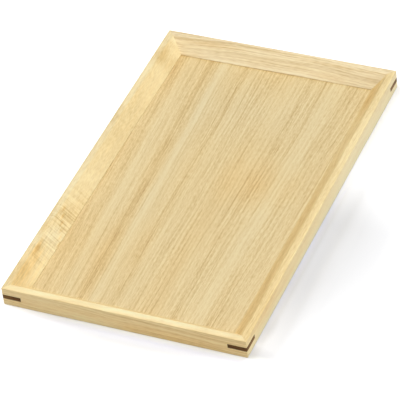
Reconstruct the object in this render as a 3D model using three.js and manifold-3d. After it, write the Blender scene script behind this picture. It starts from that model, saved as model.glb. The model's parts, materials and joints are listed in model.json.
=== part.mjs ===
// A serving tray: four mitred ash rails round a veneered plywood floor,
// with a walnut spline let into each corner of the frame.
// Millimetres, +Z up. The origin is the middle of the underside, +X runs across
// the tray to its right side and +Y along the tray to its back.
import * as THREE from "three";
import { mergeVertices } from "three/addons/utils/BufferGeometryUtils.js";
import Module from "manifold-3d";

const wasm = await Module();
wasm.setup();

// Frame
const TRAY_WIDTH = 240; // outside, along X
const TRAY_LENGTH = 390; // outside, along Y
const RAIL_HEIGHT = 20;
const RAIL_WIDTH = 19.5; // from the outer face to the foot of the slope
const RIM_WIDTH = 6.5; // level strip along the top of a rail
const SLOPE_FOOT = 0.5; // upright edge left at the foot of the slope
const EDGE_EASE = 0.8; // radius that the outer edges are sanded to
const RIM_CORNER = 0.4; // radius left at the rim's corners inside that

// Floor and the groove that holds it
const FLOOR_LIP = 2.9; // height of the rail under the groove
const GROOVE_DEPTH = 6;
const FACE_PLY = 0.5; // face and back veneers
const CROSS_PLY = 0.9;
const CORE_PLY = 1;

// Corner splines
const SPLINE_LEG = 18.5; // seen on each outer face, from the corner
const SPLINE_THICKNESS = 4.5;
const SPLINE_DROP = 7.75; // from the rim down to the spline

// Clearances
const GLUE_LINE = 0.1; // between mitred faces and round a spline
const PLY_GLUE = 0.05; // between plies
const FLOOR_FIT = 0.1; // above and below the floor in its groove
const FLOOR_EXPANSION = 0.5; // from the floor's edge to the bottom of the groove

// Modelling
const EASE_STEPS = 4; // facets in a quarter round
const OVERRUN = 2; // how far a cut or a blank runs past the surface that trims it
const WELD = 1e-4; // vertices closer than this are one

// Heights and setbacks that follow from those
const floorThickness = 2 * FACE_PLY + 2 * CROSS_PLY + CORE_PLY + 4 * PLY_GLUE;
const grooveTop = FLOOR_LIP + floorThickness + 2 * FLOOR_FIT;
const grooveBack = RAIL_WIDTH - GROOVE_DEPTH;
const footTop = grooveTop + SLOPE_FOOT;
const slopeRun = RAIL_WIDTH - RIM_WIDTH;
const slopeRise = RAIL_HEIGHT - footTop;

// Each finish, as seen on the object
const ash = { color: 0xe9d2a2, roughness: 0.5, metalness: 0 };
const ashVeneer = { color: 0xdec590, roughness: 0.5, metalness: 0 };
const birchPly = { color: 0xd8bd90, roughness: 0.7, metalness: 0 };
const walnut = { color: 0x583e27, roughness: 0.5, metalness: 0 };

function solidOf(geometry) {
  geometry.deleteAttribute("normal");
  geometry.deleteAttribute("uv");
  const welded = mergeVertices(geometry, WELD);
  const vertProperties = welded.attributes.position.array;
  const triVerts = Uint32Array.from(welded.index.array);
  return new wasm.Manifold(new wasm.Mesh({ numProp: 3, vertProperties, triVerts }));
}

function geometryOf(solid) {
  const { vertProperties, triVerts } = solid.getMesh();
  const geometry = new THREE.BufferGeometry();
  geometry.setAttribute("position", new THREE.BufferAttribute(vertProperties, 3));
  geometry.setIndex(new THREE.BufferAttribute(triVerts, 1));
  geometry.computeVertexNormals();
  return geometry;
}

function namedMesh(name, geometry, finish) {
  const mesh = new THREE.Mesh(geometry, new THREE.MeshStandardMaterial(finish));
  mesh.name = name;
  return mesh;
}

function outline(points) {
  return new THREE.Shape(points.map(([x, y]) => new THREE.Vector2(x, y)));
}

function roundedRectangle(length, span, radius) {
  const right = length / 2 - radius;
  const back = span / 2 - radius;
  const shape = new THREE.Shape();
  shape.absarc(right, back, radius, 0, Math.PI / 2);
  shape.absarc(-right, back, radius, Math.PI / 2, Math.PI);
  shape.absarc(-right, -back, radius, Math.PI, 1.5 * Math.PI);
  shape.absarc(right, -back, radius, 1.5 * Math.PI, 2 * Math.PI);
  return shape;
}

// The outside of the glued-up frame, sanded over all its edges as one.
function sandedBlock(length, span) {
  const block = new THREE.ExtrudeGeometry(roundedRectangle(length, span, EDGE_EASE + RIM_CORNER), {
    depth: RAIL_HEIGHT - 2 * EDGE_EASE,
    curveSegments: EASE_STEPS,
    bevelThickness: EDGE_EASE,
    bevelSize: EDGE_EASE,
    bevelOffset: -EDGE_EASE,
    bevelSegments: EASE_STEPS,
  });
  return solidOf(block.translate(0, 0, EDGE_EASE));
}

// A rail's section: x is the distance in from the outer face and y the height.
// The outer face, the rim and the base are left proud for the sanded block to trim.
function railSection() {
  const slopeEnd = RIM_WIDTH - (OVERRUN * slopeRun) / slopeRise;
  return outline([
    [-OVERRUN, -OVERRUN],
    [RAIL_WIDTH, -OVERRUN],
    [RAIL_WIDTH, FLOOR_LIP],
    [grooveBack, FLOOR_LIP],
    [grooveBack, grooveTop],
    [RAIL_WIDTH, grooveTop],
    [RAIL_WIDTH, footTop],
    [slopeEnd, RAIL_HEIGHT + OVERRUN],
    [-OVERRUN, RAIL_HEIGHT + OVERRUN],
  ]);
}

// A bar of that section along X at the front of a frame of this length and span.
// Its ends slide in by their distance from the outer face, which mitres them.
function mitredBar(length, span) {
  const bar = new THREE.ExtrudeGeometry(railSection(), { depth: length, bevelEnabled: false });
  const points = bar.attributes.position;
  const retreat = GLUE_LINE * Math.SQRT1_2;
  for (let i = 0; i < points.count; i += 1) {
    const end = length / 2 - points.getX(i) - retreat;
    points.setZ(i, points.getZ(i) > 0 ? end : -end);
  }
  const across = new THREE.Vector3(0, 1, 0);
  const up = new THREE.Vector3(0, 0, 1);
  const along = new THREE.Vector3(1, 0, 0);
  bar.applyMatrix4(new THREE.Matrix4().makeBasis(across, up, along));
  return solidOf(bar.translate(0, -span / 2, 0));
}

// A triangular plate across one front corner, left proud of both outer faces.
// side is -1 for the left corner and 1 for the right; growth widens it into a slot.
function cornerWedge(length, span, side, growth) {
  const reach = SPLINE_LEG + growth * Math.SQRT2;
  const corner = [(side * length) / 2, -span / 2];
  const wedge = outline([
    [corner[0] + side * OVERRUN, corner[1] - OVERRUN],
    [corner[0] - side * (reach + OVERRUN), corner[1] - OVERRUN],
    [corner[0] + side * OVERRUN, corner[1] + reach + OVERRUN],
  ]);
  const depth = SPLINE_THICKNESS + 2 * growth;
  const plate = new THREE.ExtrudeGeometry(wedge, { depth, bevelEnabled: false });
  return solidOf(plate.translate(0, 0, RAIL_HEIGHT - SPLINE_DROP - SPLINE_THICKNESS - growth));
}

function railGeometry(length, span) {
  const rail = mitredBar(length, span)
    .intersect(sandedBlock(length, span))
    .subtract(cornerWedge(length, span, -1, GLUE_LINE))
    .subtract(cornerWedge(length, span, 1, GLUE_LINE));
  return geometryOf(rail);
}

function splineGeometry(length, span) {
  return geometryOf(cornerWedge(length, span, -1, 0).intersect(sandedBlock(length, span)));
}

// One side of the frame: its rail and the spline at the rail's left end,
// both made at the front and turned to their place in quarter turns.
function frameSide(railName, splineName, quarterTurns, length, span) {
  const side = new THREE.Group();
  side.rotation.z = (quarterTurns * Math.PI) / 2;
  side.add(namedMesh(railName, railGeometry(length, span), ash));
  side.add(namedMesh(splineName, splineGeometry(length, span), walnut));
  return side;
}

// The floor's plies, laid up from the back veneer to the face veneer.
function floorPanel() {
  const floor = new THREE.Group();
  const setback = grooveBack + FLOOR_EXPANSION;
  const width = TRAY_WIDTH - 2 * setback;
  const length = TRAY_LENGTH - 2 * setback;
  const plies = [
    ["floor_back_veneer", FACE_PLY, ashVeneer],
    ["floor_lower_crossband", CROSS_PLY, birchPly],
    ["floor_core", CORE_PLY, birchPly],
    ["floor_upper_crossband", CROSS_PLY, birchPly],
    ["floor_face_veneer", FACE_PLY, ashVeneer],
  ];
  let level = FLOOR_LIP + FLOOR_FIT;
  for (const [name, thickness, finish] of plies) {
    const ply = namedMesh(name, new THREE.BoxGeometry(width, length, thickness), finish);
    ply.position.z = level + thickness / 2;
    floor.add(ply);
    level += thickness + PLY_GLUE;
  }
  return floor;
}

const tray = new THREE.Group();
tray.add(frameSide("front_rail", "front_left_spline", 0, TRAY_WIDTH, TRAY_LENGTH));
tray.add(frameSide("right_rail", "front_right_spline", 1, TRAY_LENGTH, TRAY_WIDTH));
tray.add(frameSide("back_rail", "back_right_spline", 2, TRAY_WIDTH, TRAY_LENGTH));
tray.add(frameSide("left_rail", "back_left_spline", 3, TRAY_LENGTH, TRAY_WIDTH));
tray.add(floorPanel());

export default tray;
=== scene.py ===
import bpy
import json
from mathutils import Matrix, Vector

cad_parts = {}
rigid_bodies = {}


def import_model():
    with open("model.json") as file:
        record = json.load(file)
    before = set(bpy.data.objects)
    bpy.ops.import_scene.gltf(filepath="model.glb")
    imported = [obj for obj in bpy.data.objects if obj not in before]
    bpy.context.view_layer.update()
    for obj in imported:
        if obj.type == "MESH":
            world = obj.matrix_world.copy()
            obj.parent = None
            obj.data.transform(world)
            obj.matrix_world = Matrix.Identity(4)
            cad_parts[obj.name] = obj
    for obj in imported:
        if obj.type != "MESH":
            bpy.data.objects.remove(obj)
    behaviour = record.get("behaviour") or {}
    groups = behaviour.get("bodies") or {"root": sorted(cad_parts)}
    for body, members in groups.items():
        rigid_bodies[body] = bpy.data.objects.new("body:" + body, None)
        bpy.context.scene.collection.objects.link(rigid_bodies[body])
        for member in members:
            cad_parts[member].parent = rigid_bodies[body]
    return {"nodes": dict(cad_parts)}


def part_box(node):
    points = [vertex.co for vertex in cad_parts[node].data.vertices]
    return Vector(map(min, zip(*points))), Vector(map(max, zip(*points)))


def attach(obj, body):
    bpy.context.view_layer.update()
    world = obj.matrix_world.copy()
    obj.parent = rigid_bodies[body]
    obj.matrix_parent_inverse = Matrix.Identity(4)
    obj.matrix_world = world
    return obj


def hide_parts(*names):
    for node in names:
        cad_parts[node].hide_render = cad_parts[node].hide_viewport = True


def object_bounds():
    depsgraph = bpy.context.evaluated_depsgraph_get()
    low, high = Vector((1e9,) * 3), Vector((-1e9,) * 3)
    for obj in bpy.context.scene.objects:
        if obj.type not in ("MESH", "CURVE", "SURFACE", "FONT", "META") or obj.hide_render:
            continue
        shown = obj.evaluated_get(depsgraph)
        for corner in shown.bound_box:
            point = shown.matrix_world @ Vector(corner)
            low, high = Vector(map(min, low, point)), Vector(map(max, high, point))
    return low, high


bl_info = {
    "name": "Ash Serving Tray",
    "version": (1, 0, 0),
    "blender": (4, 5, 0),
    "location": "3D View > Sidebar > Tray",
    "description": "Models and finishes a splined ash serving tray on its measured frame",
    "category": "Add Mesh",
}

import json
import math

import bmesh
import bpy
from bpy.props import FloatProperty, FloatVectorProperty, PointerProperty
from mathutils import Matrix, Vector

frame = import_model()
CAD_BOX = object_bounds()

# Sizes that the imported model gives, in metres
LOW, HIGH = CAD_BOX
WIDTH = HIGH.x - LOW.x
LENGTH = HIGH.y - LOW.y
HEIGHT = HIGH.z - LOW.z
RAIL_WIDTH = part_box("front_rail")[1].y - LOW.y
FLOOR_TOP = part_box("floor_face_veneer")[1].z
FLOOR_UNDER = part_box("floor_back_veneer")[0].z
SPLINE_LOW, SPLINE_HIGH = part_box("front_left_spline")
SPLINE_LEG = SPLINE_HIGH.x - SPLINE_LOW.x

MM = 0.001
TO_MM = (1 / MM,) * 3  # scale that turns a place in metres into millimetres

# How the pieces are cut and shaded
TOUCH = 0.01 * MM  # points closer than this are taken as one place
PROUD = 2 * MM  # how much larger a slot's blank is than the frame that it cuts
LEVEL = 0.9  # a face whose normal rises or falls by more than this lies level
ROUND_STEPS = 5  # facets in an eased edge
ROUND_ANGLE = math.radians(35)  # edges that turn less than this are shaded round
FACE_WEIGHT = 100  # how strongly the wide faces lead the shading of the eased edges

# Each rail's node and its outward direction
RAILS = {
    "front_rail": Vector((0, -1, 0)),
    "right_rail": Vector((1, 0, 0)),
    "back_rail": Vector((0, 1, 0)),
    "left_rail": Vector((-1, 0, 0)),
}

# Each corner spline's node and the signs of its corner in X and Y
SPLINES = {
    "front_left_spline": (-1, -1),
    "front_right_spline": (1, -1),
    "back_right_spline": (1, 1),
    "back_left_spline": (-1, 1),
}


def linear(hex_colour):
    """An sRGB colour such as E3CB98 as linear red, green and blue."""
    shares = [int(hex_colour[i:i + 2], 16) / 255 for i in (0, 2, 4)]
    return tuple(s / 12.92 if s <= 0.04045 else ((s + 0.055) / 1.055) ** 2.4 for s in shares)


class TrayFrameSizes(bpy.types.PropertyGroup):
    """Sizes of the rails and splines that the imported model's boxes don't give"""

    rim_width: FloatProperty(
        name="Rim width", description="Level strip along the top of each rail",
        default=6.5 * MM, min=3 * MM, max=12 * MM, unit="LENGTH")
    slope_foot: FloatProperty(
        name="Slope foot", description="Upright edge where the slope meets the floor",
        default=0.5 * MM, min=0.1 * MM, max=2 * MM, unit="LENGTH")
    groove_depth: FloatProperty(
        name="Groove depth", description="How far the floor's groove is cut into a rail",
        default=6 * MM, min=2 * MM, max=10 * MM, unit="LENGTH")
    floor_fit: FloatProperty(
        name="Floor fit", description="Gap above and below the floor in its groove",
        default=0.1 * MM, min=0.02 * MM, max=0.5 * MM, unit="LENGTH")
    edge_ease: FloatProperty(
        name="Edge ease", description="Radius of the sanded outer edges",
        default=0.8 * MM, min=0.2 * MM, max=2 * MM, unit="LENGTH")
    rim_ease: FloatProperty(
        name="Rim ease", description="Rounding between the rim and the slope",
        default=0.4 * MM, min=0.2 * MM, max=2 * MM, unit="LENGTH")
    joint_gap: FloatProperty(
        name="Joint gap", description="Glue line between mitred faces and round a spline",
        default=0.08 * MM, min=0.02 * MM, max=0.3 * MM, unit="LENGTH")


class TrayColours(bpy.types.PropertyGroup):
    """Base colours of the woods and of the stage"""

    front_rail: FloatVectorProperty(
        name="Front rail", description="Middle tone of the front rail's ash",
        default=linear("EED194"), size=3, subtype="COLOR", min=0, max=1)
    right_rail: FloatVectorProperty(
        name="Right rail", description="Middle tone of the right rail's ash",
        default=linear("E9CF95"), size=3, subtype="COLOR", min=0, max=1)
    back_rail: FloatVectorProperty(
        name="Back rail", description="Middle tone of the back rail's ash",
        default=linear("EAD5A9"), size=3, subtype="COLOR", min=0, max=1)
    left_rail: FloatVectorProperty(
        name="Left rail", description="Middle tone of the left rail's ash",
        default=linear("E8D19C"), size=3, subtype="COLOR", min=0, max=1)
    veneer: FloatVectorProperty(
        name="Veneer ash", description="Middle tone of the floor's ash veneer",
        default=linear("DAC28E"), size=3, subtype="COLOR", min=0, max=1)
    walnut: FloatVectorProperty(
        name="Walnut", description="Middle tone of the corner splines",
        default=linear("6C4A24"), size=3, subtype="COLOR", min=0, max=1)
    stage: FloatVectorProperty(
        name="Stage", description="Pale floor that the tray lies on",
        default=linear("CFCFD0"), size=3, subtype="COLOR", min=0, max=1)


class TrayView(bpy.types.PropertyGroup):
    """The photograph's camera, worked out from the tray's edges"""

    azimuth: FloatProperty(
        name="Azimuth", description="Turn of the camera round the tray from the front",
        default=math.radians(27.7345), subtype="ANGLE")
    elevation: FloatProperty(
        name="Elevation", description="Height of the camera above the tray's plane",
        default=math.radians(41.1447), subtype="ANGLE")
    roll: FloatProperty(
        name="Roll", description="Tilt of the picture about the view direction",
        default=math.radians(7.6415), subtype="ANGLE")
    distance: FloatProperty(
        name="Distance", description="From the camera to the point that it looks at",
        default=2.68188, min=0.1, unit="LENGTH")
    focal_pixels: FloatProperty(
        name="Focal length", description="Focal length in pixels of the photograph's frame",
        default=2861.56, min=100, subtype="PIXEL")
    aim: FloatVectorProperty(
        name="Aim", description="Point that the camera looks at",
        default=(-2.120 * MM, -12.631 * MM, 0), size=3, subtype="XYZ", unit="LENGTH")


def node(tree, kind, inputs=None, stops=(), blend="LINEAR", **settings):
    """Adds one node with its settings, its inputs' values or links and, in a colour ramp, its stops."""
    made = tree.nodes.new(kind)
    for name, value in settings.items():
        setattr(made, name, value)
    for name, value in (inputs or {}).items():
        if isinstance(value, bpy.types.NodeSocket):
            tree.links.new(value, made.inputs[name])
        else:
            made.inputs[name].default_value = value
    if stops:
        made.color_ramp.interpolation = blend
        elements = made.color_ramp.elements
        while len(elements) < len(stops):
            elements.new(0.5)
        for element, (position, colour) in zip(elements, stops):
            element.position = position
            element.color = (*colour, 1)
    return made


def new_material(name):
    """An empty node material with its shader, and the Object coordinates that its patterns read."""
    material = bpy.data.materials.new(name)
    material.use_nodes = True
    tree = material.node_tree
    tree.nodes.clear()
    shader = node(tree, "ShaderNodeBsdfPrincipled")
    node(tree, "ShaderNodeOutputMaterial", {"Surface": shader.outputs["BSDF"]})
    place = node(tree, "ShaderNodeTexCoord").outputs["Object"]
    return material, tree, shader, place


# Tones of a wood's dark lines, usual wood and pale lines, from 0 to 1. Usual warmth is the same middle.
DARK, USUAL, PALE = 0.1, 0.5, 0.9

NOISE_MIDDLE = 0.5  # mean of a noise that runs from 0 to 1
LINE_ROUGHNESS = 0.55  # how much of the finer noise shows in a line
LAYER_SHIFT = (31.7, 17.3, 5.9)  # how far one layer of lines lies from the last in its own noise

# Ash from the tan of open early wood to the cream of late wood: tones, and shares of its middle colour
ASH_TONES = (
    (DARK, (0.68, 0.57, 0.42)), (0.35, (0.885, 0.848, 0.768)), (USUAL, (1, 1, 1)),
    (0.65, (1.09, 1.14, 1.22)), (PALE, (1.16, 1.28, 1.48)),
)
BRIGHTEST = 0.95  # most light that wood gives back

# What warmth makes of a wood's colour: a cool cream at 0, no change where it is usual, and orange at 1
WARMTHS = ((0, (0.95, 1, 1.12)), (USUAL, (1, 1, 1)), (1, (1.03, 0.93, 0.76)))

# A wood's surface: the tones between which its sheen changes and by how much, and the relief of its lines
WOOD_IOR = 1.5
SHEEN_TONES = (0.2, 0.8)
SHEEN_CHANGE = 0.06
RELIEF_STRENGTH = 0.3
RELIEF_DEPTH = 0.06 * MM
ASH_ROUGHNESS = 0.45
WALNUT_ROUGHNESS = 0.55
BIRCH_ROUGHNESS = 0.7


def streaks(tree, grain, sizes, detail, shift=(0, 0, 0)):
    """Noise about zero, stretched to sizes along the grain, across it and through it, in millimetres."""
    stretched = node(tree, "ShaderNodeMapping", {
        "Vector": grain, "Location": shift, "Scale": tuple(1 / size for size in sizes)})
    noise = node(tree, "ShaderNodeTexNoise", {
        "Vector": stretched.outputs["Vector"], "Scale": 1, "Detail": detail, "Roughness": LINE_ROUGHNESS})
    return node(tree, "ShaderNodeMath", {
        0: noise.outputs["Fac"], 1: NOISE_MIDDLE}, operation="SUBTRACT").outputs[0]


def add_lines(tree, grain, layers, tone):
    """Adds layers of lines to a tone. Each layer gives its sizes, its detail and its strength."""
    for seed, (sizes, detail, strength) in enumerate(layers):
        lines = streaks(tree, grain, sizes, detail, tuple(step * seed for step in LAYER_SHIFT))
        tone = node(tree, "ShaderNodeMath", {
            0: lines, 1: strength, 2: tone}, operation="MULTIPLY_ADD").outputs[0]
    return tone


def wander(tree, place, sizes):
    """A slow drift about zero in three directions, which changes over these sizes."""
    slow = node(tree, "ShaderNodeMapping", {"Vector": place, "Scale": tuple(1 / size for size in sizes)})
    drift = node(tree, "ShaderNodeTexNoise", {"Vector": slow.outputs["Vector"], "Scale": 1, "Detail": 1})
    return node(tree, "ShaderNodeVectorMath", {
        0: drift.outputs["Color"], 1: (NOISE_MIDDLE,) * 3}, operation="SUBTRACT").outputs[0]


def along_row(tree, distance, half, marks, blend):
    """Reads a row of marks at a distance from its middle. Each mark has a place and three shares there."""
    position = node(tree, "ShaderNodeMapRange", {
        "Value": distance, "From Min": -half, "From Max": half, "To Min": 0, "To Max": 1})
    stops = [((place + half) / (2 * half), shares) for place, shares in marks]
    row = node(tree, "ShaderNodeValToRGB", {"Fac": position.outputs["Result"]}, stops, blend)
    return row.outputs["Color"]


def soft_spot(tree, place, middle, half_sizes):
    """1 in the middle of an ellipsoid that fades to 0 at its half sizes, in millimetres."""
    scale = tuple(1 / size for size in half_sizes)
    centred = node(tree, "ShaderNodeMapping", {
        "Vector": place, "Location": tuple(-m * k for m, k in zip(middle, scale)), "Scale": scale})
    spot = node(tree, "ShaderNodeTexGradient", {
        "Vector": centred.outputs["Vector"]}, gradient_type="SPHERICAL")
    return spot.outputs["Fac"]


def add_mark(tree, share, lift, heat, tone, warmth):
    """Adds a mark's lift to a wood's tone and its heat to the warmth, by the share of it that shows."""
    lifted = node(tree, "ShaderNodeMath", {0: share, 1: lift, 2: tone}, operation="MULTIPLY_ADD")
    heated = node(tree, "ShaderNodeMath", {0: share, 1: heat, 2: warmth}, operation="MULTIPLY_ADD")
    return lifted.outputs[0], heated.outputs[0]


def add_spots(tree, place, spots, tone, warmth):
    """Adds soft spots to a wood: their middle and half sizes, and what each adds to tone and warmth."""
    for middle, half_sizes, lift, heat in spots:
        spot = soft_spot(tree, place, middle, half_sizes)
        tone, warmth = add_mark(tree, spot, lift, heat, tone, warmth)
    return tone, warmth


def ash_colour(tree, middle, tone, warmth):
    """The colour of ash at a tone and warmth, about its middle colour."""
    stops = [
        (at, tuple(min(part * share, BRIGHTEST) for part, share in zip(middle, shares)))
        for at, shares in ASH_TONES]
    plain = node(tree, "ShaderNodeValToRGB", {"Fac": tone}, stops)
    shade = node(tree, "ShaderNodeValToRGB", {"Fac": warmth}, WARMTHS)
    warmed = node(tree, "ShaderNodeVectorMath", {
        0: plain.outputs["Color"], 1: shade.outputs["Color"]}, operation="MULTIPLY")
    return warmed.outputs[0]


def wood_surface(tree, shader, tone, colour, roughness):
    """Links a wood's colour to its shader, with the slight sheen and relief that follow its lines."""
    tree.links.new(colour, shader.inputs["Base Color"])
    sheen = node(tree, "ShaderNodeMapRange", {
        "Value": tone, "From Min": SHEEN_TONES[0], "From Max": SHEEN_TONES[1],
        "To Min": roughness + SHEEN_CHANGE, "To Max": roughness - SHEEN_CHANGE})
    tree.links.new(sheen.outputs["Result"], shader.inputs["Roughness"])
    relief = node(tree, "ShaderNodeBump", {
        "Strength": RELIEF_STRENGTH, "Distance": RELIEF_DEPTH, "Height": tone})
    tree.links.new(relief.outputs["Normal"], shader.inputs["Normal"])
    shader.inputs["IOR"].default_value = WOOD_IOR


# How the veneer's lines run, in millimetres: how far they lean across, and the share by which they spread,
# for each millimetre along the sheet, and how far and over what sizes they sway
VENEER_LEAN = 0.012
VENEER_SPREAD = 0.17 / 350
VENEER_SWAY = 4
VENEER_SWAY_SIZES = (90, 40, 1)

# The face veneer's figure across the floor: place from its middle line in millimetres,
# and the tone, the strength of the fine lines and the warmth there, each 0.5 where the wood is usual
VENEER_FIGURE = (
    (-105, (0.48, 0.55, 0.55)), (-87, (0.46, 0.55, 0.56)), (-78, (0.58, 0.35, 0.42)),
    (-70, (0.52, 0.4, 0.48)), (-60, (0.47, 0.55, 0.6)), (-54, (0.47, 0.5, 0.56)),
    (-46.5, (0.62, 0.3, 0.3)), (-39, (0.53, 0.35, 0.42)), (-33, (0.51, 0.4, 0.5)),
    (-25, (0.48, 0.55, 0.55)), (-14, (0.55, 0.4, 0.46)), (-4, (0.49, 0.5, 0.5)),
    (8, (0.48, 0.55, 0.58)), (18, (0.48, 0.4, 0.58)), (30, (0.52, 0.4, 0.5)),
    (41, (0.47, 0.6, 0.5)), (52, (0.51, 0.5, 0.48)), (63.5, (0.61, 0.35, 0.4)),
    (68, (0.57, 0.45, 0.42)), (78, (0.49, 0.6, 0.5)), (90, (0.53, 0.55, 0.5)),
    (105, (0.51, 0.5, 0.5)),
)
VENEER_HALF = 110  # how far the figure is drawn to each side of the middle line

# Thin brown growth lines in it: place, half width and depth
VENEER_BROWN_LINES = (
    (-61, 1.1, 0.14), (-57.5, 1.1, 0.26), (-24, 1.1, 0.26), (-2.5, 1.1, 0.14), (40, 1.1, 0.22))
BROWN_HALF = 72  # how far they are drawn to each side of the middle line

# Stretches where a brown line is faint or strong: their sizes, the noise there and the share of its depth
BROWN_STRETCHES = (35, 12, 40)
BROWN_FAINT = (0.35, 0.6)
BROWN_STRONG = (0.6, 1.15)

# Growth rings where the slice crossed them evenly: middle, half width, spacing and strength
VENEER_RINGS = ((-62, 50, 5.8, 0.05), (2, 46, 4.2, 0.075), (66, 52, 4.9, 0.085))
RING_REACH = 2000  # how far they run along the sheet

# The veneer's lines: sizes along and across the grain and through the sheet, detail and strength.
# The shortest are its pores, drawn about three times as wide as real ones so that they show.
VENEER_LINES = (
    ((55, 1.7, 40), 0, 0.26),
    ((500, 1.9, 40), 0, 0.1),
    ((22, 1.5, 40), 0, 0.24),
    ((5, 0.9, 20), 1, 0.6),
    ((320, 9, 40), 0, 0.12),
)
VENEER_WARM_LINES = (((120, 30, 40), 1, 0.25),)

# Thin dark lines where early wood comes to the face: sizes as above, how far they lie from the other lines
# in their noise, the noise at which a line starts and is full, and its depth
VENEER_THIN = ((160, 1.8, 40), (7.7, 3.3, 0), 0.62, 0.78, 0.17)

# Soft changes over the sheet: middle and half sizes, and what they add to tone and warmth
VENEER_SPOTS = (
    ((-95, 165, 7), (35, 60, 60), -0.06, 0.1),
    # Painted shade: a dark band along the foot of the back rail
    ((0, 176, 7), (600, 5, 5), -0.14, 0.1),
    ((10, 112, 7), (80, 55, 55), 0.03, -0.25),
    ((45, 15, 7), (50, 45, 45), -0.03, 0.3),
    ((-60, -110, 7), (60, 70, 70), -0.02, 0.25),
    ((92, -60, 7), (12, 140, 140), 0.06, 0),
    ((-45, 90, 7), (70, 90, 90), -0.02, -0.1),
)

FACE_SHIFT = (0, 0, 0)  # the face veneer shows the figure above
BACK_SHIFT = (340, 800, 50)  # and the back veneer another part of the log, this far away in millimetres


def ash_veneer(name, colours, shift):
    """Ash, sliced to veneer and lacquered. To the eye it has close straight lines that draw together to one
    end, pale bands where the slice ran flat in a ring, and short open pores, under a satin sheen."""
    material, tree, shader, place = new_material(name)
    sheet = node(tree, "ShaderNodeMapping", {
        "Vector": place, "Location": shift, "Scale": TO_MM}).outputs["Vector"]
    xyz = node(tree, "ShaderNodeSeparateXYZ", {"Vector": sheet})
    along = xyz.outputs["Y"]
    leaning = node(tree, "ShaderNodeMath", {
        0: along, 1: VENEER_LEAN, 2: xyz.outputs["X"]}, operation="MULTIPLY_ADD")
    widening = node(tree, "ShaderNodeMath", {0: along, 1: VENEER_SPREAD, 2: 1}, operation="MULTIPLY_ADD")
    across = node(tree, "ShaderNodeMath", {
        0: leaning.outputs[0], 1: widening.outputs[0]}, operation="DIVIDE")
    straight = node(tree, "ShaderNodeCombineXYZ", {
        "X": along, "Y": across.outputs[0], "Z": xyz.outputs["Z"]}).outputs["Vector"]
    swing = wander(tree, straight, VENEER_SWAY_SIZES)
    grain = node(tree, "ShaderNodeVectorMath", {
        0: swing, 1: (0, VENEER_SWAY, 0), 2: straight}, operation="MULTIPLY_ADD").outputs[0]
    swayed = node(tree, "ShaderNodeSeparateXYZ", {"Vector": grain}).outputs["Y"]

    bands = along_row(tree, swayed, VENEER_HALF, VENEER_FIGURE, "EASE")
    figure = node(tree, "ShaderNodeSeparateColor", {"Color": bands})
    tone, strength, warmth = (figure.outputs[channel] for channel in ("Red", "Green", "Blue"))

    lines = add_lines(tree, grain, VENEER_LINES, 0)
    for middle, half, spacing, ring_strength in VENEER_RINGS:
        angle = node(tree, "ShaderNodeMath", {0: swayed, 1: 2 * math.pi / spacing}, operation="MULTIPLY")
        rings = node(tree, "ShaderNodeMath", {0: angle.outputs[0]}, operation="SINE")
        shown = soft_spot(tree, grain, (0, middle, 0), (RING_REACH, half, RING_REACH))
        share = node(tree, "ShaderNodeMath", {0: shown, 1: ring_strength}, operation="MULTIPLY")
        lines = node(tree, "ShaderNodeMath", {
            0: rings.outputs[0], 1: share.outputs[0], 2: lines}, operation="MULTIPLY_ADD").outputs[0]
    line_share = node(tree, "ShaderNodeMath", {0: strength, 1: 1 / USUAL}, operation="MULTIPLY")
    tone = node(tree, "ShaderNodeMath", {
        0: lines, 1: line_share.outputs[0], 2: tone}, operation="MULTIPLY_ADD").outputs[0]

    sizes, away, start, full, depth = VENEER_THIN
    drawn = node(tree, "ShaderNodeMapping", {
        "Vector": grain, "Location": away, "Scale": tuple(1 / size for size in sizes)})
    early = node(tree, "ShaderNodeTexNoise", {"Vector": drawn.outputs["Vector"], "Scale": 1, "Detail": 0})
    thin = node(tree, "ShaderNodeMapRange", {
        "Value": early.outputs["Fac"], "From Min": start, "From Max": full, "To Min": 0, "To Max": depth})
    tone = node(tree, "ShaderNodeMath", {
        0: tone, 1: thin.outputs["Result"]}, operation="SUBTRACT").outputs[0]

    brown_marks = []
    for middle, half, depth in VENEER_BROWN_LINES:
        for offset, share in ((-half, 0), (0, depth), (half, 0)):
            brown_marks.append((middle + offset, (share,) * 3))
    brown = along_row(tree, swayed, BROWN_HALF, brown_marks, "LINEAR")
    broken = node(tree, "ShaderNodeMapping", {
        "Vector": grain, "Scale": tuple(1 / size for size in BROWN_STRETCHES)})
    stretches = node(tree, "ShaderNodeTexNoise", {
        "Vector": broken.outputs["Vector"], "Scale": 1, "Detail": 1})
    presence = node(tree, "ShaderNodeMapRange", {
        "Value": stretches.outputs["Fac"], "From Min": BROWN_FAINT[0], "From Max": BROWN_STRONG[0],
        "To Min": -BROWN_FAINT[1], "To Max": -BROWN_STRONG[1]})
    tone = node(tree, "ShaderNodeMath", {
        0: brown, 1: presence.outputs["Result"], 2: tone}, operation="MULTIPLY_ADD").outputs[0]

    warmth = add_lines(tree, grain, VENEER_WARM_LINES, warmth)
    tone, warmth = add_spots(tree, sheet, VENEER_SPOTS, tone, warmth)
    wood_surface(tree, shader, tone, ash_colour(tree, colours.veneer, tone, warmth), ASH_ROUGHNESS)
    return material


# Sizes over which a rail's lines wander, in millimetres
RAIL_SWAY_SIZES = (70, 30, 30)
SPOT_SWAY = (8, 3, 3)  # how far its spots wander with them
BOW_SPAN = 100  # how far from the middle a rail's bow is given
RAIL_WARM_LINES = (((60, 9, 20), 1, 0.25),)
RAIL_HALF = 200  # how far the figure is drawn to each side of a rail's middle

# Short dark strokes where the left rail's curl ends, each a step farther along the rail and down its slope
CURL_START = (-78, -9, 17.6)
CURL_STEP = (-7.4, -2.1, -2)
CURL_STROKE = ((6, 1.7, 1.7), -0.14, 0.5)
CURL_COUNT = 6
CURL_STROKES = [
    (tuple(start + step * count for start, step in zip(CURL_START, CURL_STEP)), *CURL_STROKE)
    for count in range(CURL_COUNT)]
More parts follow.
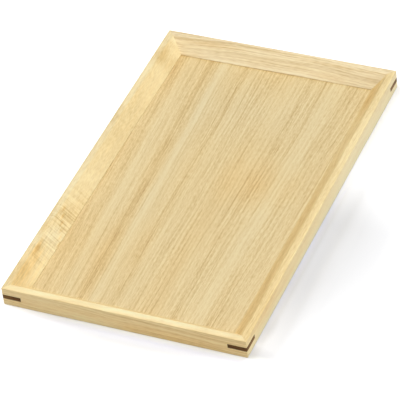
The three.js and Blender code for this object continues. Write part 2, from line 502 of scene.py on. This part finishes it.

# How each rail was cut from its board. Tilt turns the ring planes about the rail's length and drift turns
# the grain across it, in degrees. Sway is how far the lines wander and bow how far they sag at the bow's
# span. Lines are as the veneer's, with the pores last. Figure is the tone and warmth at places along the
# rail, clockwise round the tray from its middle. Marks and spots have places along the rail, in from its
# outer face as a negative, and up, with half sizes and what they add to tone and warmth. Marks stay in
# place: most set one face off from the next in tone and warmth, and those that paint light or shade say
# so. Spots wander with the grain. Patches are stretches with figure of their own, such as curl across the
# grain: middle and half sizes, the sizes of their streaks, and the strength of these in tone and warmth.
RAIL_GRAIN = {
    "front_rail": {
        "tilt": -80, "drift": -2, "sway": 5, "bow": 0,
        "lines": (
            ((150, 2, 60), 0, 0.58), ((40, 1.2, 30), 1, 0.4), ((60, 9, 30), 1, 0.12),
            ((6, 0.9, 0.9), 0, 0.3)),
        "figure": ((-110, 0.49, 0.52), (-40, 0.49, 0.52), (10, 0.5, 0.5), (110, 0.51, 0.5)),
        "marks": (
            ((0, -4.5, 21.5), (600, 6, 3), 0.41, -0.8),
            ((0, 0, 9), (600, 8, 14), 0.1, 0.26)),
        "spots": (
            ((-45, 0, 4), (65, 8, 10), -0.07, 0.22),
            ((-8, 0, 4), (14, 6, 6), -0.05, 0.2),
            ((52, 0, 5), (70, 8, 10), 0.09, -0.05),
            ((90, -4.5, 21), (75, 8, 6), -0.11, 0.05),
            ((-75, -4.5, 21), (80, 8, 6), 0.06, -0.35)),
        "patches": (),
    },
    "right_rail": {
        "tilt": 30, "drift": 1, "sway": 8, "bow": 0,
        "lines": (
            ((150, 2.4, 60), 0, 0.22), ((40, 1.2, 30), 1, 0.28), ((45, 12, 30), 1, 0.18),
            ((6, 0.9, 0.9), 0, 0.35)),
        "figure": (
            (-185, 0.52, 0.45), (-80, 0.56, 0.36), (-20, 0.51, 0.45), (60, 0.49, 0.5), (120, 0.46, 0.58),
            (185, 0.45, 0.6)),
        "marks": (
            # The outer face is paler: partly the wood's own tone, partly painted light for the bounce it
            # gets from the paper
            ((0, 2, 7), (600, 9, 16), 0.46, 0.13),
            ((0, -3.5, 22), (600, 6, 4), 0, -0.25),
            ((0, -14, 13), (600, 12, 12), -0.18, 0.15),
            # Painted light: the outer face turns paler and cooler towards the paper at its foot
            ((0, 1, 0), (600, 4, 7), 0.35, -0.6)),
        "spots": (
            # Painted shade: the slope darker towards the back corner
            ((-155, -14, 13), (40, 12, 12), -0.16, 0.3),
            ((-142, -9, 17), (32, 5, 5), -0.14, 0.05),
            ((60, -9, 17), (30, 5, 5), 0.08, 0),
            ((145, 0, 16), (50, 4, 6), -0.04, 0.3),
            ((90, -1.5, 20.5), (25, 3, 3), -0.07, 0),
            ((-10, -1.5, 20.5), (25, 3, 3), -0.07, 0)),
        "patches": (((0, 0, 9), (260, 12, 16), (150, 30, 2.2), 0.9, 0),),
    },
    "back_rail": {
        "tilt": -50, "drift": 0, "sway": 4, "bow": 3,
        "lines": (
            ((200, 1.5, 60), 0, 0.55), ((45, 1.1, 30), 1, 0.52), ((160, 6, 30), 0, 0.2),
            ((6, 0.9, 0.9), 0, 0.3)),
        "figure": ((-110, 0.48, 0.52), (-10, 0.49, 0.5), (30, 0.51, 0.5), (110, 0.52, 0.52)),
        "marks": (
            # Painted shade: a dark line along the outer top edge
            ((0, 0.5, 20.5), (600, 3, 3), -0.22, 0),
            ((0, -3, 21.5), (600, 7, 4), -0.08, 0)),
        "spots": (
            ((-75, -3, 21.5), (70, 7, 4), -0.1, -0.1),
            ((-70, -9, 17.5), (50, 3.5, 3.5), -0.2, 0.2),
            ((70, -8, 18.5), (60, 2, 2), -0.2, 0.1),
            ((-70, -17, 10), (50, 6, 6), 0.2, -0.15),
            ((58, -16, 11), (36, 7, 7), -0.1, 0.1)),
        "patches": (),
    },
    "left_rail": {
        "tilt": 46, "drift": 2, "sway": 10, "bow": 0,
        "lines": (
            ((40, 2, 25), 1, 0.2), ((9, 1.3, 9), 1, 0.12), ((28, 7, 12), 1, 0.08),
            ((5, 0.9, 0.9), 0, 0.3)),
        "figure": (
            (-185, 0.43, 0.6), (-165, 0.43, 0.6), (-148, 0.53, 0.55), (-122, 0.55, 0.42), (-104, 0.52, 0.4),
            (-87, 0.42, 0.44), (-70, 0.52, 0.5), (-30, 0.55, 0.48), (0, 0.5, 0.42), (40, 0.46, 0.42),
            (62, 0.42, 0.45), (105, 0.56, 0.54), (138, 0.6, 0.52), (155, 0.43, 0.52), (175, 0.56, 0.45)),
        "marks": (
            # Painted shade: a dark line along the outer top edge
            ((0, 0.5, 20.5), (600, 3, 3), -0.22, 0),
            ((0, -3.5, 21.5), (600, 6, 3), 0.1, -0.15),
            ((-134, -8.3, 18.3), (13, 2.4, 2.4), -0.3, 0.5),
            ((-108, -4, 20.5), (18, 4, 3), -0.12, 0.6),
            *CURL_STROKES),
        "spots": (
            ((160, -7, 19), (20, 8, 8), -0.12, 0.15),
            ((-136, -9, 18), (20, 10, 9), -0.14, 0.2),
            ((-164, -8, 18), (32, 9, 9), -0.12, 0.3),
            ((-160, -17, 9), (30, 7, 7), 0.22, 0),
            ((-113, -12, 15), (20, 10, 10), 0.02, -0.35),
            ((-82, -4, 21), (16, 5, 3), 0.14, 0),
            ((54, -4, 20), (12, 4, 3), -0.14, 0),
            ((86, -4, 21), (18, 4, 3), 0.1, -0.15),
            ((182, -3, 20.5), (12, 5, 3), -0.1, 0.1),
            ((184, -10, 16), (5, 9, 9), 0.16, -0.2)),
        "patches": (
            ((-92, -16, 11), (58, 24, 24), (2.3, 40, 40), 1.35, 0),
            ((-128, -16, 11), (42, 16, 16), (2.8, 30, 30), 1.1, 0.3),
            ((-150, -9, 15), (75, 30, 30), (40, 1.8, 1.8), 0.5, 1.2),
            ((-115, -9, 15), (95, 30, 30), (12, 1.6, 5), 0.4, 0.4),
            ((60, -9, 15), (150, 40, 40), (30, 2.5, 2.5), 0.2, 0.6)),
    },
}


def ash_rail(name, middle, outward, cut):
    """Solid ash, planed, sanded and lacquered. To the eye its rings, cut lengthwise, show as soft lines or
    as broad flat figure, by how the ring planes lie to each face, with fine pores and a satin sheen."""
    material, tree, shader, place = new_material(name)
    turn = math.pi / 2 - math.atan2(outward.y, outward.x)
    face = abs(outward.x) * WIDTH / 2 + abs(outward.y) * LENGTH / 2
    rail = node(tree, "ShaderNodeMapping", {
        "Vector": place, "Location": (0, -face / MM, 0), "Rotation": (0, 0, turn),
        "Scale": TO_MM}).outputs["Vector"]
    rings = node(tree, "ShaderNodeMapping", {
        "Vector": rail, "Rotation": (math.radians(cut["tilt"]), 0, math.radians(cut["drift"]))})
    along = node(tree, "ShaderNodeSeparateXYZ", {"Vector": rail}).outputs["X"]
    squared = node(tree, "ShaderNodeMath", {0: along, 1: along}, operation="MULTIPLY")
    sag = node(tree, "ShaderNodeMath", {
        0: squared.outputs[0], 1: cut["bow"] / BOW_SPAN ** 2}, operation="MULTIPLY")
    bend = node(tree, "ShaderNodeCombineXYZ", {"Y": sag.outputs[0]})
    bowed = node(tree, "ShaderNodeVectorMath", {0: rings.outputs["Vector"], 1: bend.outputs["Vector"]})
    swing = wander(tree, rail, RAIL_SWAY_SIZES)
    grain = node(tree, "ShaderNodeVectorMath", {
        0: swing, 1: (0, cut["sway"], 0), 2: bowed.outputs[0]}, operation="MULTIPLY_ADD").outputs[0]
    loose = node(tree, "ShaderNodeVectorMath", {
        0: swing, 1: SPOT_SWAY, 2: rail}, operation="MULTIPLY_ADD").outputs[0]
    loose_along = node(tree, "ShaderNodeSeparateXYZ", {"Vector": loose}).outputs["X"]
    figure_marks = [(spot, (tone, warmth, 0)) for spot, tone, warmth in cut["figure"]]
    bands = along_row(tree, loose_along, RAIL_HALF, figure_marks, "EASE")
    figure = node(tree, "ShaderNodeSeparateColor", {"Color": bands})

    tone = add_lines(tree, grain, cut["lines"], figure.outputs["Red"])
    warmth = add_lines(tree, grain, RAIL_WARM_LINES, figure.outputs["Green"])
    tone, warmth = add_spots(tree, rail, cut["marks"], tone, warmth)
    tone, warmth = add_spots(tree, loose, cut["spots"], tone, warmth)
    for patch_middle, half_sizes, sizes, strength, heat in cut["patches"]:
        marks = streaks(tree, rail, sizes, detail=1)
        patch = node(tree, "ShaderNodeMath", {
            0: soft_spot(tree, rail, patch_middle, half_sizes), 1: marks}, operation="MULTIPLY").outputs[0]
        tone, warmth = add_mark(tree, patch, strength, heat, tone, warmth)
    wood_surface(tree, shader, tone, ash_colour(tree, middle, tone, warmth), ASH_ROUGHNESS)
    return material


# Walnut's lines: sizes across the tray, along it and up, detail and strength. Then its dark and pale tones.
WALNUT_LINES = (((14, 14, 1.2), 2, 0.9), ((9, 9, 0.5), 2, 0.7), ((30, 30, 6), 1, 0.5))
WALNUT_DARK, WALNUT_PALE = "3A2410", "8F6B36"
WALNUT_SHINE = 0.1  # reflection, which is 0.5 on most woods and less on its open pores

# Where a spline shows long grain, on a long rail's face: place along from the corner and up, in millimetres,
# half sizes and lift
LONG_GRAIN_ALONG = 15
LONG_GRAIN_UP = 10
LONG_GRAIN_HALF = (5, 14, 14)
LONG_GRAIN_LIFT = 0.3


def walnut_spline(colours):
    """Walnut, sanded flush and lacquered. To the eye it is dark brown with fine light and dark lines. Its
    grain runs along the long rails, so it shows paler there, and as darker end grain on the short rails."""
    material, tree, shader, place = new_material("walnut_sanded_lacquered")
    spline = node(tree, "ShaderNodeMapping", {"Vector": place, "Scale": TO_MM}).outputs["Vector"]
    tone = add_lines(tree, spline, WALNUT_LINES, USUAL)
    for side, end in SPLINES.values():
        middle = (side * WIDTH / 2 / MM, end * (LENGTH / 2 / MM - LONG_GRAIN_ALONG), LONG_GRAIN_UP)
        tone = node(tree, "ShaderNodeMath", {
            0: soft_spot(tree, spline, middle, LONG_GRAIN_HALF), 1: LONG_GRAIN_LIFT, 2: tone},
            operation="MULTIPLY_ADD").outputs[0]
    stops = ((DARK, linear(WALNUT_DARK)), (USUAL, colours.walnut), (PALE, linear(WALNUT_PALE)))
    colour = node(tree, "ShaderNodeValToRGB", {"Fac": tone}, stops).outputs["Color"]
    wood_surface(tree, shader, tone, colour, WALNUT_ROUGHNESS)
    shader.inputs["Specular IOR Level"].default_value = WALNUT_SHINE
    return material


# Birch's lines, as the veneer's, its dark, usual and pale tones, and the turns that lay its grain
BIRCH_LINES = (((160, 12, 40), 2, 0.6), ((30, 1.2, 20), 2, 0.4))
BIRCH_DARK, BIRCH_USUAL, BIRCH_PALE = "BF9C6C", "D8BD90", "E8D3AC"
CROSSWISE, LENGTHWISE = 0, math.pi / 2


def birch_ply(name, turn):
    """Birch, rotary cut and left bare inside the floor. To the eye it is pale, dull and even, with faint
    lines along its grain."""
    material, tree, shader, place = new_material(name)
    ply = node(tree, "ShaderNodeMapping", {
        "Vector": place, "Rotation": (0, 0, turn), "Scale": TO_MM}).outputs["Vector"]
    tone = add_lines(tree, ply, BIRCH_LINES, USUAL)
    stops = ((DARK, linear(BIRCH_DARK)), (USUAL, linear(BIRCH_USUAL)), (PALE, linear(BIRCH_PALE)))
    colour = node(tree, "ShaderNodeValToRGB", {"Fac": tone}, stops).outputs["Color"]
    wood_surface(tree, shader, tone, colour, BIRCH_ROUGHNESS)
    return material


def select_only(obj):
    """Leaves one object selected and active."""
    bpy.ops.object.select_all(action="DESELECT")
    obj.select_set(True)
    bpy.context.view_layer.objects.active = obj


def block(name, size):
    """A box of this size that stands on the tray's base, about its middle."""
    bpy.ops.object.select_all(action="DESELECT")
    bpy.ops.mesh.primitive_cube_add(size=1, location=(0, 0, HEIGHT / 2), scale=size)
    bpy.ops.object.transform_apply(location=True, rotation=True, scale=True)
    made = bpy.context.object
    made.name = made.data.name = name
    return made


def copy_of(blank, name):
    """A copy of a blank, with a mesh of its own, left selected and active."""
    select_only(blank)
    bpy.ops.object.duplicate()
    made = bpy.context.object
    made.name = made.data.name = name
    return made


def pick(obj, kind, test):
    """In edit mode, selects only the faces or edges that pass the test."""
    bpy.ops.mesh.select_mode(type={"faces": "FACE", "edges": "EDGE"}[kind])
    bpy.ops.mesh.select_all(action="DESELECT")
    shape = bmesh.from_edit_mesh(obj.data)
    for part in getattr(shape, kind):
        if test(part):
            part.select_set(True)
    bmesh.update_edit_mesh(obj.data)


def at_corner(vert, setback):
    """True where a vertex lies on a corner's upright line, this far in from both outer faces."""
    return (abs(abs(vert.co.x) - (WIDTH / 2 - setback)) < TOUCH
            and abs(abs(vert.co.y) - (LENGTH / 2 - setback)) < TOUCH)


def ease_edges(obj, radius, setback, heights=None):
    """In edit mode, rounds the edges between corner points at this setback and these heights, or at any."""
    def wanted(edge):
        if not all(at_corner(v, setback) for v in edge.verts):
            return False
        if heights is None:
            return True
        return all(any(abs(v.co.z - h) < TOUCH for h in heights) for v in edge.verts)
    pick(obj, "edges", wanted)
    bpy.ops.mesh.bevel(offset=radius, segments=ROUND_STEPS, affect="EDGES")


def drop(distance):
    """In edit mode, extrudes the selected face downwards."""
    bpy.ops.mesh.extrude_region_move(TRANSFORM_OT_translate={"value": (0, 0, -distance)})


def spread(setback, new_setback):
    """In edit mode, extrudes the selected level face outwards or inwards in its own plane."""
    across = (WIDTH / 2 - new_setback) / (WIDTH / 2 - setback)
    along = (LENGTH / 2 - new_setback) / (LENGTH / 2 - setback)
    bpy.ops.mesh.extrude_region_move(TRANSFORM_OT_translate={"value": (0, 0, 0)})
    bpy.ops.transform.resize(value=(across, along, 1), center_override=(0, 0, 0))


def saw(point, normal):
    """In edit mode, cuts the whole mesh at a plane, drops what lies beyond it and closes the cut."""
    bpy.ops.mesh.select_all(action="SELECT")
    bpy.ops.mesh.bisect(plane_co=point, plane_no=normal, use_fill=True, clear_outer=True)


def frame_blank(sizes):
    """The four rails as one ring, with the slope, the floor's groove and the edges that show eased."""
    groove_top = FLOOR_TOP + sizes.floor_fit
    groove_under = FLOOR_UNDER - sizes.floor_fit
    groove_back = RAIL_WIDTH - sizes.groove_depth
    slope_run = RAIL_WIDTH - sizes.rim_width
    slope_rise = HEIGHT - groove_top - sizes.slope_foot
    ring = block("frame_blank", (WIDTH, LENGTH, HEIGHT))
    bpy.ops.object.mode_set(mode="EDIT")
    pick(ring, "faces", lambda f: f.normal.z > LEVEL)
    bpy.ops.mesh.inset(thickness=sizes.rim_width)
    bpy.ops.mesh.inset(thickness=slope_run, depth=-slope_rise)
    drop(sizes.slope_foot)
    spread(RAIL_WIDTH, groove_back)
    drop(groove_top - groove_under)
    spread(groove_back, RAIL_WIDTH)
    drop(groove_under)
    bpy.ops.mesh.delete(type="ONLY_FACE")
    pick(ring, "faces", lambda f: f.normal.z < -LEVEL and f.calc_center_median().z < TOUCH)
    bpy.ops.mesh.inset(thickness=RAIL_WIDTH)
    bpy.ops.mesh.delete(type="ONLY_FACE")
    bpy.ops.mesh.select_all(action="SELECT")
    bpy.ops.mesh.remove_doubles(threshold=TOUCH)
    ease_edges(ring, sizes.edge_ease, 0)
    ease_edges(ring, sizes.rim_ease, sizes.rim_width, [HEIGHT])
    ease_edges(ring, sizes.edge_ease / 2, RAIL_WIDTH, [0])
    bpy.ops.object.mode_set(mode="OBJECT")
    return ring


def corner_wedge(blank, name, signs, growth):
    """Saws a copy of a blank down to the plate across one corner, grown on its three inner faces."""
    wedge = copy_of(blank, name)
    inward = Vector((-signs[0], -signs[1], 0)).normalized()
    corner = Vector((signs[0] * WIDTH / 2, signs[1] * LENGTH / 2, 0))
    reach = SPLINE_LEG / math.sqrt(2) + growth
    bpy.ops.object.mode_set(mode="EDIT")
    saw(corner + inward * reach, inward)
    saw((0, 0, SPLINE_LOW.z - growth), (0, 0, -1))
    saw((0, 0, SPLINE_HIGH.z + growth), (0, 0, 1))
    bpy.ops.object.mode_set(mode="OBJECT")
    return wedge


def mitred(blank, name, outward, gap):
    """Saws a copy of the frame's ring down to one rail, with half a glue line off each mitre."""
    rail = copy_of(blank, name)
    along = Vector((-outward.y, outward.x, 0))
    bpy.ops.object.mode_set(mode="EDIT")
    for end in (-1, 1):
        corner = Vector((0, 0, 0))
        corner.x = (outward.x + end * along.x) * WIDTH / 2
        corner.y = (outward.y + end * along.y) * LENGTH / 2
        mitre = (along * end - outward).normalized()
        saw(corner - mitre * gap / 2, mitre)
    bpy.ops.object.mode_set(mode="OBJECT")
    return rail


def cut_slots(rail, slots):
    """Cuts the corner plates out of a rail."""
    for cutter in slots:
        cut = rail.modifiers.new("spline_slot", "BOOLEAN")
        cut.operation = "DIFFERENCE"
        cut.solver = "MANIFOLD"
        cut.object = cutter
        bpy.ops.object.modifier_apply(modifier=cut.name)


def check_closed(piece):
    """Stops the script where a cut has left a piece open."""
    shape = bmesh.new()
    shape.from_mesh(piece.data)
    torn = sum(not edge.is_manifold for edge in shape.edges)
    shape.free()
    if torn:
        raise RuntimeError(f"{piece.name} has {torn} open edges")


def smooth(piece):
    """Shades the eased edges round and keeps the wide faces flat."""
    select_only(piece)
    bpy.ops.object.shade_smooth_by_angle(angle=ROUND_ANGLE)
    weighted = piece.modifiers.new("flat_faces", "WEIGHTED_NORMAL")
    weighted.keep_sharp = True
    weighted.weight = FACE_WEIGHT
    bpy.ops.object.modifier_apply(modifier=weighted.name)


def finish_piece(piece, stands_for, material):
    """Checks and smooths a piece, gives it its wood and hangs it on the tray."""
    check_closed(piece)
    smooth(piece)
    piece.data.materials.clear()
    piece.data.materials.append(material)
    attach(piece, "root")
    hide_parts(stands_for)


class TRAY_OT_rails(bpy.types.Operator):
    """Models the frame as one eased ring and saws it into four mitred rails with spline slots"""

    bl_idname = "tray.rails"
    bl_label = "Ash rails"

    def execute(self, context):
        sizes = context.scene.tray_frame
        ring = frame_blank(sizes)
        proud = block("slot_blank", (WIDTH + PROUD, LENGTH + PROUD, HEIGHT))
        slots = [
            corner_wedge(proud, name + "_slot", signs, sizes.joint_gap) for name, signs in SPLINES.items()]
        for name, outward in RAILS.items():
            rail = mitred(ring, "ash_" + name, outward, sizes.joint_gap)
            cut_slots(rail, slots)
            middle = getattr(context.scene.tray_colours, name)
            material = ash_rail("ash_sanded_lacquered_" + name, middle, outward, RAIL_GRAIN[name])
            finish_piece(rail, name, material)
        for spare in (ring, proud, *slots):
            bpy.data.objects.remove(spare)
        return {"FINISHED"}


class TRAY_OT_splines(bpy.types.Operator):
    """Models the walnut splines, sanded flush with the frame's outer faces"""

    bl_idname = "tray.splines"
    bl_label = "Walnut splines"

    def execute(self, context):
        sizes = context.scene.tray_frame
        material = walnut_spline(context.scene.tray_colours)
        blank = block("spline_blank", (WIDTH, LENGTH, HEIGHT))
        bpy.ops.object.mode_set(mode="EDIT")
        ease_edges(blank, sizes.edge_ease, 0)
        bpy.ops.object.mode_set(mode="OBJECT")
        for name, signs in SPLINES.items():
            spline = corner_wedge(blank, "walnut_" + name, signs, 0)
            finish_piece(spline, name, material)
        bpy.data.objects.remove(blank)
        return {"FINISHED"}


class TRAY_OT_floor(bpy.types.Operator):
    """Finishes the floor's veneers and plies"""

    bl_idname = "tray.floor"
    bl_label = "Veneered floor"

    def execute(self, context):
        colours = context.scene.tray_colours
        plies = {
            "floor_face_veneer": ash_veneer("ash_sliced_lacquered_face", colours, FACE_SHIFT),
            "floor_upper_crossband": birch_ply("birch_rotary_cut_upper", CROSSWISE),
            "floor_core": birch_ply("birch_rotary_cut_core", LENGTHWISE),
            "floor_lower_crossband": birch_ply("birch_rotary_cut_lower", CROSSWISE),
            "floor_back_veneer": ash_veneer("ash_sliced_lacquered_back", colours, BACK_SHIFT),
        }
        for name, material in plies.items():
            frame["nodes"][name].material_slots[0].material = material
        return {"FINISHED"}


STAGE_SIDE = 20  # metres
STAGE_GAP = 0.05 * MM  # between the tray and the paper under it
IMAGE_PIXELS = 400  # side of the photograph's square frame

# Softboxes round the tray: place and side in metres, power in watts, and what each lights.
# The paper has a softbox of its own, so that the tray's shadow falls to the right as in the photograph.
LAMPS = {
    "top_softbox": ((0, 0, 2.4), 2.1, 65, "both"),
    "right_softbox": ((2.6, 0, 0.5), 1, 17, "tray"),
    "right_front_softbox": ((1.95, -1.95, 0.6), 1, 15, "tray"),
    "left_back_softbox": ((-1.95, 1.95, 1.5), 1.5, 6, "tray"),
    "paper_softbox": ((-4, -0.5, 1.8), 3, 290, "paper"),
}

# Added to the paper's own brightness where the eye sees it, which whitens it all round the tray
PAPER_LIFT = 0.45

# Where the lift, a painted glow, is held back to shape the tray's shadow: middle and half sizes in
# millimetres, the share of the spot from which the shadow is full, and the lift that is left there. On the
# right it reaches on to the front corner, and it fades out to the back between two places along the tray.
SHADOW_RIGHT = ((120, -30, 0), (130, 200, 200), 0.75, 0.055)
SHADOW_CORNER = ((120, -145, 0), (26, 50, 50), 0.8, 0.16)
SHADOW_FRONT = ((10, -193, 0), (170, 36, 36), 0.6, 0)
SHADOW_FADE = (-15, 78)

# Painted light that evens the shadow, a glow on the paper where no lamp shines: middle, half sizes, lift
# and colour. To the right it is cool on the contact line and beside it, and white farther out. In front it
# is pale on the contact line and blue beside it.
PAINTED_SHADOW_GLOWS = (
    ((120, -45, 0), (7, 180, 7), 0.3, "CFD5FF"),
    ((129, -45, 0), (14, 160, 14), 0.06, "3F9CFF"),
    ((143, -68, 0), (17, 155, 17), 0.11, "FFFFFF"),
    ((160, -60, 0), (24, 130, 24), 0.07, "FFFFFF"),
    ((35, -195, 0), (190, 7, 7), 0.23, "F9FFD9"),
    ((35, -201, 0), (190, 9, 9), 0.1, "3F7CFF"),
)


def seen_by_eye(tree):
    """1 for a ray that the camera, a reflection or a clear body sends, and 0 for one that only lights."""
    path = node(tree, "ShaderNodeLightPath")
    mirrored = node(tree, "ShaderNodeMath", {
        0: path.outputs["Is Glossy Ray"], 1: path.outputs["Is Transmission Ray"]}, operation="MAXIMUM")
    return node(tree, "ShaderNodeMath", {
        0: path.outputs["Is Camera Ray"], 1: mirrored.outputs[0]}, operation="MAXIMUM").outputs[0]


def stage_paper(colours):
    """Paper, matt and white. To the eye a painted glow whitens it, held back where it keeps the tray's
    shadow and tinted to even that shadow.
    """
    material = bpy.data.materials.new("paper_matt_white")
    material.use_nodes = True
    tree = material.node_tree
    tree.nodes.clear()
    matt = node(tree, "ShaderNodeBsdfDiffuse", {"Color": (*colours.stage, 1)})
    place = node(tree, "ShaderNodeTexCoord").outputs["Object"]
    paper = node(tree, "ShaderNodeMapping", {"Vector": place, "Scale": TO_MM}).outputs["Vector"]
    along = node(tree, "ShaderNodeSeparateXYZ", {"Vector": paper}).outputs["Y"]
    lost = []
    for middle, half_sizes, full, left in (SHADOW_RIGHT, SHADOW_CORNER, SHADOW_FRONT):
        lost.append(node(tree, "ShaderNodeMapRange", {
            "Value": soft_spot(tree, paper, middle, half_sizes), "From Min": 0, "From Max": full,
            "To Min": 0, "To Max": PAPER_LIFT - left}, interpolation_type="SMOOTHSTEP").outputs["Result"])
    wide, corner, front = lost
    fade = node(tree, "ShaderNodeMapRange", {
        "Value": along, "From Min": SHADOW_FADE[0], "From Max": SHADOW_FADE[1],
        "To Min": 1, "To Max": 0}, interpolation_type="SMOOTHSTEP")
    right = node(tree, "ShaderNodeMath", {0: wide, 1: corner}, operation="MAXIMUM")
    faded = node(tree, "ShaderNodeMath", {
        0: right.outputs[0], 1: fade.outputs["Result"]}, operation="MULTIPLY")
    most = node(tree, "ShaderNodeMath", {0: faded.outputs[0], 1: front}, operation="MAXIMUM")
    kept = node(tree, "ShaderNodeMath", {0: PAPER_LIFT, 1: most.outputs[0]}, operation="SUBTRACT")
    glows = [(kept.outputs[0], 1, "FFFFFF")]
    for middle, half_sizes, added, colour in PAINTED_SHADOW_GLOWS:
        glows.append((soft_spot(tree, paper, middle, half_sizes), added, colour))
    shown = seen_by_eye(tree)
    surface = matt.outputs["BSDF"]
    for share, strength, colour in glows:
        full = node(tree, "ShaderNodeMath", {0: share, 1: strength}, operation="MULTIPLY")
        lift = node(tree, "ShaderNodeMath", {0: full.outputs[0], 1: shown}, operation="MULTIPLY")
        glow = node(tree, "ShaderNodeEmission", {
            "Color": (*linear(colour), 1), "Strength": lift.outputs[0]})
        both = node(tree, "ShaderNodeAddShader", {0: surface, 1: glow.outputs["Emission"]})
        surface = both.outputs["Shader"]
    node(tree, "ShaderNodeOutputMaterial", {"Surface": surface})
    return material


def studio_world():
    """A white surround that is seen but gives no light."""
    world = bpy.data.worlds.new("studio")
    world.use_nodes = True
    tree = world.node_tree
    tree.nodes.clear()
    white = node(tree, "ShaderNodeBackground", {"Color": (1, 1, 1, 1), "Strength": seen_by_eye(tree)})
    node(tree, "ShaderNodeOutputWorld", {"Surface": white.outputs["Background"]})
    return world


def set_lamps(scene, ground):
    """Hangs the softboxes, each aimed at the tray and lighting the tray, the paper or both."""
    lit = {"tray": bpy.data.collections.new("lit_tray"), "paper": bpy.data.collections.new("lit_paper")}
    for obj in scene.objects:
        if obj.type == "MESH":
            lit["paper" if obj is ground else "tray"].objects.link(obj)
    for name, (place, side, power, lights) in LAMPS.items():
        lamp = bpy.data.lights.new(name, "AREA")
        lamp.shape = "SQUARE"
        lamp.size = side
        lamp.energy = power
        softbox = bpy.data.objects.new(name, lamp)
        softbox.location = place
        softbox.rotation_euler = (-Vector(place)).to_track_quat("-Z", "Y").to_euler()
        scene.collection.objects.link(softbox)
        if lights in lit:
            softbox.light_linking.receiver_collection = lit[lights]


def set_camera(scene):
    """Places the camera as the photograph's was."""
    view = scene.tray_view
    flat = math.cos(view.elevation)
    back = Vector((math.sin(view.azimuth) * flat, -math.cos(view.azimuth) * flat, math.sin(view.elevation)))
    right = Vector((0, 0, 1)).cross(back).normalized()
    up = back.cross(right)
    picture_right = right * math.cos(view.roll) - up * math.sin(view.roll)
    picture_up = right * math.sin(view.roll) + up * math.cos(view.roll)
    lens = bpy.data.cameras.new("photo_camera")
    lens.lens = view.focal_pixels / IMAGE_PIXELS * lens.sensor_width
    camera = bpy.data.objects.new("photo_camera", lens)
    scene.collection.objects.link(camera)
    turn = Matrix((picture_right, picture_up, back)).transposed()
    camera.matrix_world = Matrix.Translation(Vector(view.aim) + back * view.distance) @ turn.to_4x4()
    scene.camera = camera


class TRAY_OT_stage(bpy.types.Operator):
    """Lays the pale floor and sets the soft studio light and the photograph's camera"""

    bl_idname = "tray.stage"
    bl_label = "Stage and camera"

    def execute(self, context):
        scene = context.scene
        scene.view_settings.view_transform = "Standard"
        bpy.ops.object.select_all(action="DESELECT")
        bpy.ops.mesh.primitive_plane_add(size=STAGE_SIDE, location=(0, 0, LOW.z - STAGE_GAP))
        ground = context.object
        ground.name = "stage_floor"
        ground.data.materials.append(stage_paper(scene.tray_colours))
        scene.world = studio_world()
        set_lamps(scene, ground)
        set_camera(scene)
        return {"FINISHED"}


class TRAY_PT_panel(bpy.types.Panel):
    """Lists the tray's sizes, colours and making steps"""

    bl_idname = "TRAY_PT_panel"
    bl_label = "Ash Serving Tray"
    bl_space_type = "VIEW_3D"
    bl_region_type = "UI"
    bl_category = "Tray"

    def draw(self, context):
        for settings in (context.scene.tray_frame, context.scene.tray_colours, context.scene.tray_view):
            box = self.layout.box()
            for name in settings.__annotations__:
                box.prop(settings, name)
        for operator in OPERATORS:
            self.layout.operator(operator.bl_idname)


OPERATORS = (TRAY_OT_rails, TRAY_OT_splines, TRAY_OT_floor, TRAY_OT_stage)
CLASSES = (TrayFrameSizes, TrayColours, TrayView, *OPERATORS, TRAY_PT_panel)


def register():
    for made in CLASSES:
        bpy.utils.register_class(made)
    bpy.types.Scene.tray_frame = PointerProperty(type=TrayFrameSizes)
    bpy.types.Scene.tray_colours = PointerProperty(type=TrayColours)
    bpy.types.Scene.tray_view = PointerProperty(type=TrayView)


def unregister():
    del bpy.types.Scene.tray_view
    del bpy.types.Scene.tray_colours
    del bpy.types.Scene.tray_frame
    for made in reversed(CLASSES):
        bpy.utils.unregister_class(made)


def main():
    register()
    bpy.ops.tray.rails()
    bpy.ops.tray.splines()
    bpy.ops.tray.floor()
    bpy.ops.tray.stage()


if __name__ == "__main__":
    main()
